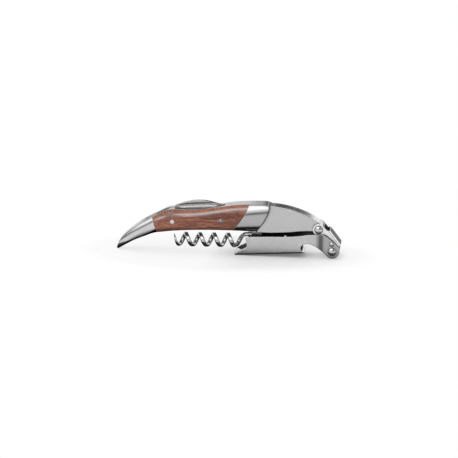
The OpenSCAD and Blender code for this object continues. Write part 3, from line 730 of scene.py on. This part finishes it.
# ---------------------------------------------------------------- floor, light, camera
def floor():
    bm = bmesh.new()
    n, half = 40, 2.5
    vs = [[bm.verts.new((-half + 2 * half * i / n, -half + 2 * half * j / n, 0.0)) for j in range(n + 1)] for i in range(n + 1)]
    for i in range(n):
        for j in range(n):
            bm.faces.new((vs[i][j], vs[i + 1][j], vs[i + 1][j + 1], vs[i][j + 1]))
    me = bpy.data.meshes.new("floor")
    bm.to_mesh(me)
    bm.free()
    o = bpy.data.objects.new("floor", me)
    scene.collection.objects.link(o)
    s = Mat("pale_floor")
    lp = s.t.nodes.new("ShaderNodeLightPath")
    sep = s.t.nodes.new("ShaderNodeSeparateXYZ")
    s.link(s.tc.outputs["Object"], sep.inputs[0])
    ay = s.math("ABSOLUTE", sep.outputs["Y"])
    ax = s.math("ABSOLUTE", sep.outputs["X"])
    # Painted shade: close around the tool the floor turns nearly black for reflection rays only, so downward metal
    # faces reflect a dark contact shadow.
    reach = s.remap(sep.outputs["X"], -0.064, -0.040, 0.009, 0.0175)
    near = s.math("MULTIPLY", s.remap(s.math("SUBTRACT", ay, reach), 0.0, 0.003, 1.0, 0.0), s.remap(ax, 0.070, 0.085, 1.0, 0.0))
    near = s.math("MULTIPLY", near, s.remap(sep.outputs["X"], 0.044, 0.055, 1.0, 0.75))
    # Painted light: for camera rays the floor is mixed towards a white glow by lift; far off this is the even white
    # backdrop, near the tool it lightens the shadow by set amounts, more on the tail side and towards the hinge end
    # than under the middle of the lever.
    qx, qy = s.math("DIVIDE", ax, 0.092), s.math("DIVIDE", ay, 0.048)
    ring = s.math("SQRT", s.math("ADD", s.math("MULTIPLY", qx, qx), s.math("MULTIPLY", qy, qy)))
    fade = s.remap(ring, 0.50, 1.0, 0.0, 1.0)
    far = s.math("MULTIPLY", s.math("MULTIPLY", fade, fade), s.math("SUBTRACT", 3.0, s.math("MULTIPLY", fade, 2.0)))
    lift = s.math("MAXIMUM", far, s.remap(sep.outputs["X"], -0.012, 0.012, 0.76, 0.16))
    lift = s.math("MAXIMUM", lift, s.math("MAXIMUM", s.remap(sep.outputs["X"], 0.036, 0.050, 0.0, 0.42), s.remap(sep.outputs["X"], 0.056, 0.068, 0.0, 0.70)))
    mott = s.noise(s.coords((0.02, 0.02, 0.02)), 1.0, 2.0, 0.5)
    pale = s.ramp(mott, [(0.3, 0.885), (0.7, 0.905)])
    col = s.mix(s.math("MULTIPLY", near, s.math("MULTIPLY", lp.outputs["Is Glossy Ray"], 0.97)), pale, 0.02)
    s.set(Base_Color=col, Roughness=0.85)
    s.b.inputs["Specular IOR Level"].default_value = 0.0
    em = s.t.nodes.new("ShaderNodeEmission")
    em.inputs["Color"].default_value = (1, 1, 1, 1)
    em.inputs["Strength"].default_value = 1.0
    mx = s.t.nodes.new("ShaderNodeMixShader")
    s.link(s.math("MULTIPLY", lp.outputs["Is Camera Ray"], lift), mx.inputs[0])
    s.link(s.b.outputs[0], mx.inputs[1])
    s.link(em.outputs[0], mx.inputs[2])
    s.link(mx.outputs[0], s.out.inputs["Surface"])
    me.materials.append(s.m)
    return o


def rest_floor(ground):
    """The floor drops with the lowest point of the turned pieces, so that an opened tool is never cut by it. At rest it stays at zero."""
    marks = [frame["bodies"]["frame"]]
    for body, nodes in (("worm", ("worm_wire", "worm_knuckle")), ("lever", ("lever",)), ("link", ("link",)), ("knife", ("knife_blade",))):
        pts = [NODES[n].matrix_world @ v.co for n in nodes for v in NODES[n].data.vertices]
        seen = set()
        for k in range(16):
            a = math.pi * k / 8
            far = max(pts, key=lambda q: q.x * math.cos(a) + q.z * math.sin(a))
            spot = (round(far.x, 5), round(far.z, 5))
            if spot in seen:
                continue
            seen.add(spot)
            e = bpy.data.objects.new("mark_" + body + "_" + str(k), None)
            e.empty_display_size = 0.001
            scene.collection.objects.link(e)
            e.parent = frame["bodies"][body]
            e.matrix_parent_inverse = frame["bodies"][body].matrix_world.inverted()
            e.location = (far.x, 0.0, max(far.z, 0.0) if abs(far.z) < 0.0002 else far.z)
            marks.append(e)
    d = ground.driver_add("location", 2).driver
    d.type = "MIN"
    for k, e in enumerate(marks):
        v = d.variables.new()
        v.name = "m" + str(k)
        v.type = "TRANSFORMS"
        v.targets[0].id = e
        v.targets[0].transform_type = "LOC_Z"
        v.targets[0].transform_space = "WORLD_SPACE"


rest_floor(floor())


def world():
    """A studio seen differently by each kind of ray: white behind the object, an even dome for light, and soft boxes with dark gaps for reflections."""
    w = bpy.data.worlds.new("studio")
    scene.world = w
    w.use_nodes = True
    w.cycles.sampling_method = "NONE"
    t = w.node_tree
    t.nodes.clear()
    N, L = t.nodes.new, t.links.new
    out = N("ShaderNodeOutputWorld")
    tc = N("ShaderNodeTexCoord")
    sep = N("ShaderNodeSeparateXYZ")
    L(tc.outputs["Generated"], sep.inputs[0])

    def ramp(fac, stops, lo, hi):
        r = N("ShaderNodeMapRange")
        for k, v in zip(("From Min", "From Max", "To Min", "To Max"), (lo, hi, 0.0, 1.0)):
            r.inputs[k].default_value = v
        L(fac, r.inputs["Value"])
        n = N("ShaderNodeValToRGB")
        e = n.color_ramp.elements
        while len(e) < len(stops):
            e.new(0.5)
        for k, (p, c) in enumerate(stops):
            e[k].position = (p - lo) / (hi - lo)
            e[k].color = (c, c, c, 1)
        L(r.outputs[0], n.inputs["Fac"])
        return n.outputs["Color"]

    def m(op, a, b=None):
        n = N("ShaderNodeMath")
        n.operation = op
        for k, v in enumerate((a, b)):
            if v is None:
                continue
            if isinstance(v, (int, float)):
                n.inputs[k].default_value = v
            else:
                L(v, n.inputs[k])
        return n.outputs[0]

    x, y, z = sep.outputs["X"], sep.outputs["Y"], sep.outputs["Z"]
    el = m("MULTIPLY", m("ARCSINE", z), 57.2958)
    af = m("MULTIPLY", m("ARCTAN2", x, m("MULTIPLY", y, -1.0)), 57.2958)
    ab = m("MULTIPLY", m("ARCTAN2", x, y), 57.2958)
    front_el = ramp(el, [(0, 0.60), (2, 0.30), (4, 0.17), (8, 0.17), (13, 0.9), (20, 1.0), (48, 1.0), (58, 0.30), (90, 0.25)], 0, 90)
    front_az = ramp(af, [(-180, 0.3), (-95, 0.25), (-75, 0.35), (-55, 1.0), (3, 1.0), (8, 0.06), (26, 0.06), (36, 0.5), (60, 0.9), (72, 1.4), (92, 1.4), (110, 0.3), (180, 0.3)], -180, 180)
    front = m("MULTIPLY", front_el, front_az)
    back_el = ramp(el, [(0, 0.10), (3, 0.10), (6, 0.80), (12, 0.80), (22, 0.78), (40, 0.45), (90, 0.55)], 0, 90)
    back_az = ramp(ab, [(-180, 0.5), (-90, 0.45), (-40, 0.9), (-7, 0.9), (-4, 0.35), (-1, 0.08), (7, 0.08), (9.5, 1.35), (45, 1.3), (90, 0.45), (180, 0.5)], -180, 180)
    back = m("MULTIPLY", back_el, back_az)
    side = ramp(y, [(-0.12, 0.0), (0.12, 1.0)], -0.12, 0.12)
    gl = m("ADD", m("MULTIPLY", front, m("SUBTRACT", 1.0, side)), m("MULTIPLY", back, side))
    glossy = N("ShaderNodeBackground")
    L(gl, glossy.inputs["Color"])
    glossy.inputs["Strength"].default_value = 1.25
    dome = N("ShaderNodeBackground")
    L(ramp(el, [(0, 0.35), (20, 0.55), (50, 0.95), (90, 1.05)], 0, 90), dome.inputs["Color"])
    dome.inputs["Strength"].default_value = 0.95
    white = N("ShaderNodeBackground")
    white.inputs["Color"].default_value = (1, 1, 1, 1)
    white.inputs["Strength"].default_value = 1.0
    lp = N("ShaderNodeLightPath")
    a, b = N("ShaderNodeMixShader"), N("ShaderNodeMixShader")
    L(lp.outputs["Is Glossy Ray"], a.inputs[0])
    L(dome.outputs[0], a.inputs[1])
    L(glossy.outputs[0], a.inputs[2])
    L(lp.outputs["Is Camera Ray"], b.inputs[0])
    L(a.outputs[0], b.inputs[1])
    L(white.outputs[0], b.inputs[2])
    L(b.outputs[0], out.inputs["Surface"])


world()


def area(name, loc, target, size, power):
    d = bpy.data.lights.new(name, "AREA")
    d.shape = "RECTANGLE"
    d.size, d.size_y = size
    d.energy = power
    o = bpy.data.objects.new(name, d)
    scene.collection.objects.link(o)
    o.location = loc
    o.rotation_euler = (Vector(target) - Vector(loc)).to_track_quat("-Z", "Y").to_euler()
    return o


area("top_softbox", (0.02, 0.12, 0.75), (0, 0, 0.01), (0.60, 0.45), 0.9)
front_box = area("front_softbox", (-0.12, -0.62, 0.42), (0, 0, 0.01), (0.60, 0.30), 0.45)

cam_data = bpy.data.cameras.new("camera")
cam = bpy.data.objects.new("camera", cam_data)
scene.collection.objects.link(cam)
scene.camera = cam
AZ, EL, ROLL, DIST = math.radians(6.0), math.radians(14.0), math.radians(0.65), 0.90
target = Vector((0.19, 0.0, 13.56)) * MM
cam.location = target + DIST * Vector((math.sin(AZ) * math.cos(EL), -math.cos(AZ) * math.cos(EL), math.sin(EL)))
q = (target - cam.location).to_track_quat("-Z", "Y").to_matrix().to_4x4()
cam.matrix_world = Matrix.Translation(cam.location) @ q @ Matrix.Rotation(ROLL, 4, "Z")
cam_data.sensor_width = 36.0
cam_data.lens = 36.0 * DIST / 0.2624
cam_data.clip_start = 0.01
cam_data.clip_end = 20.0
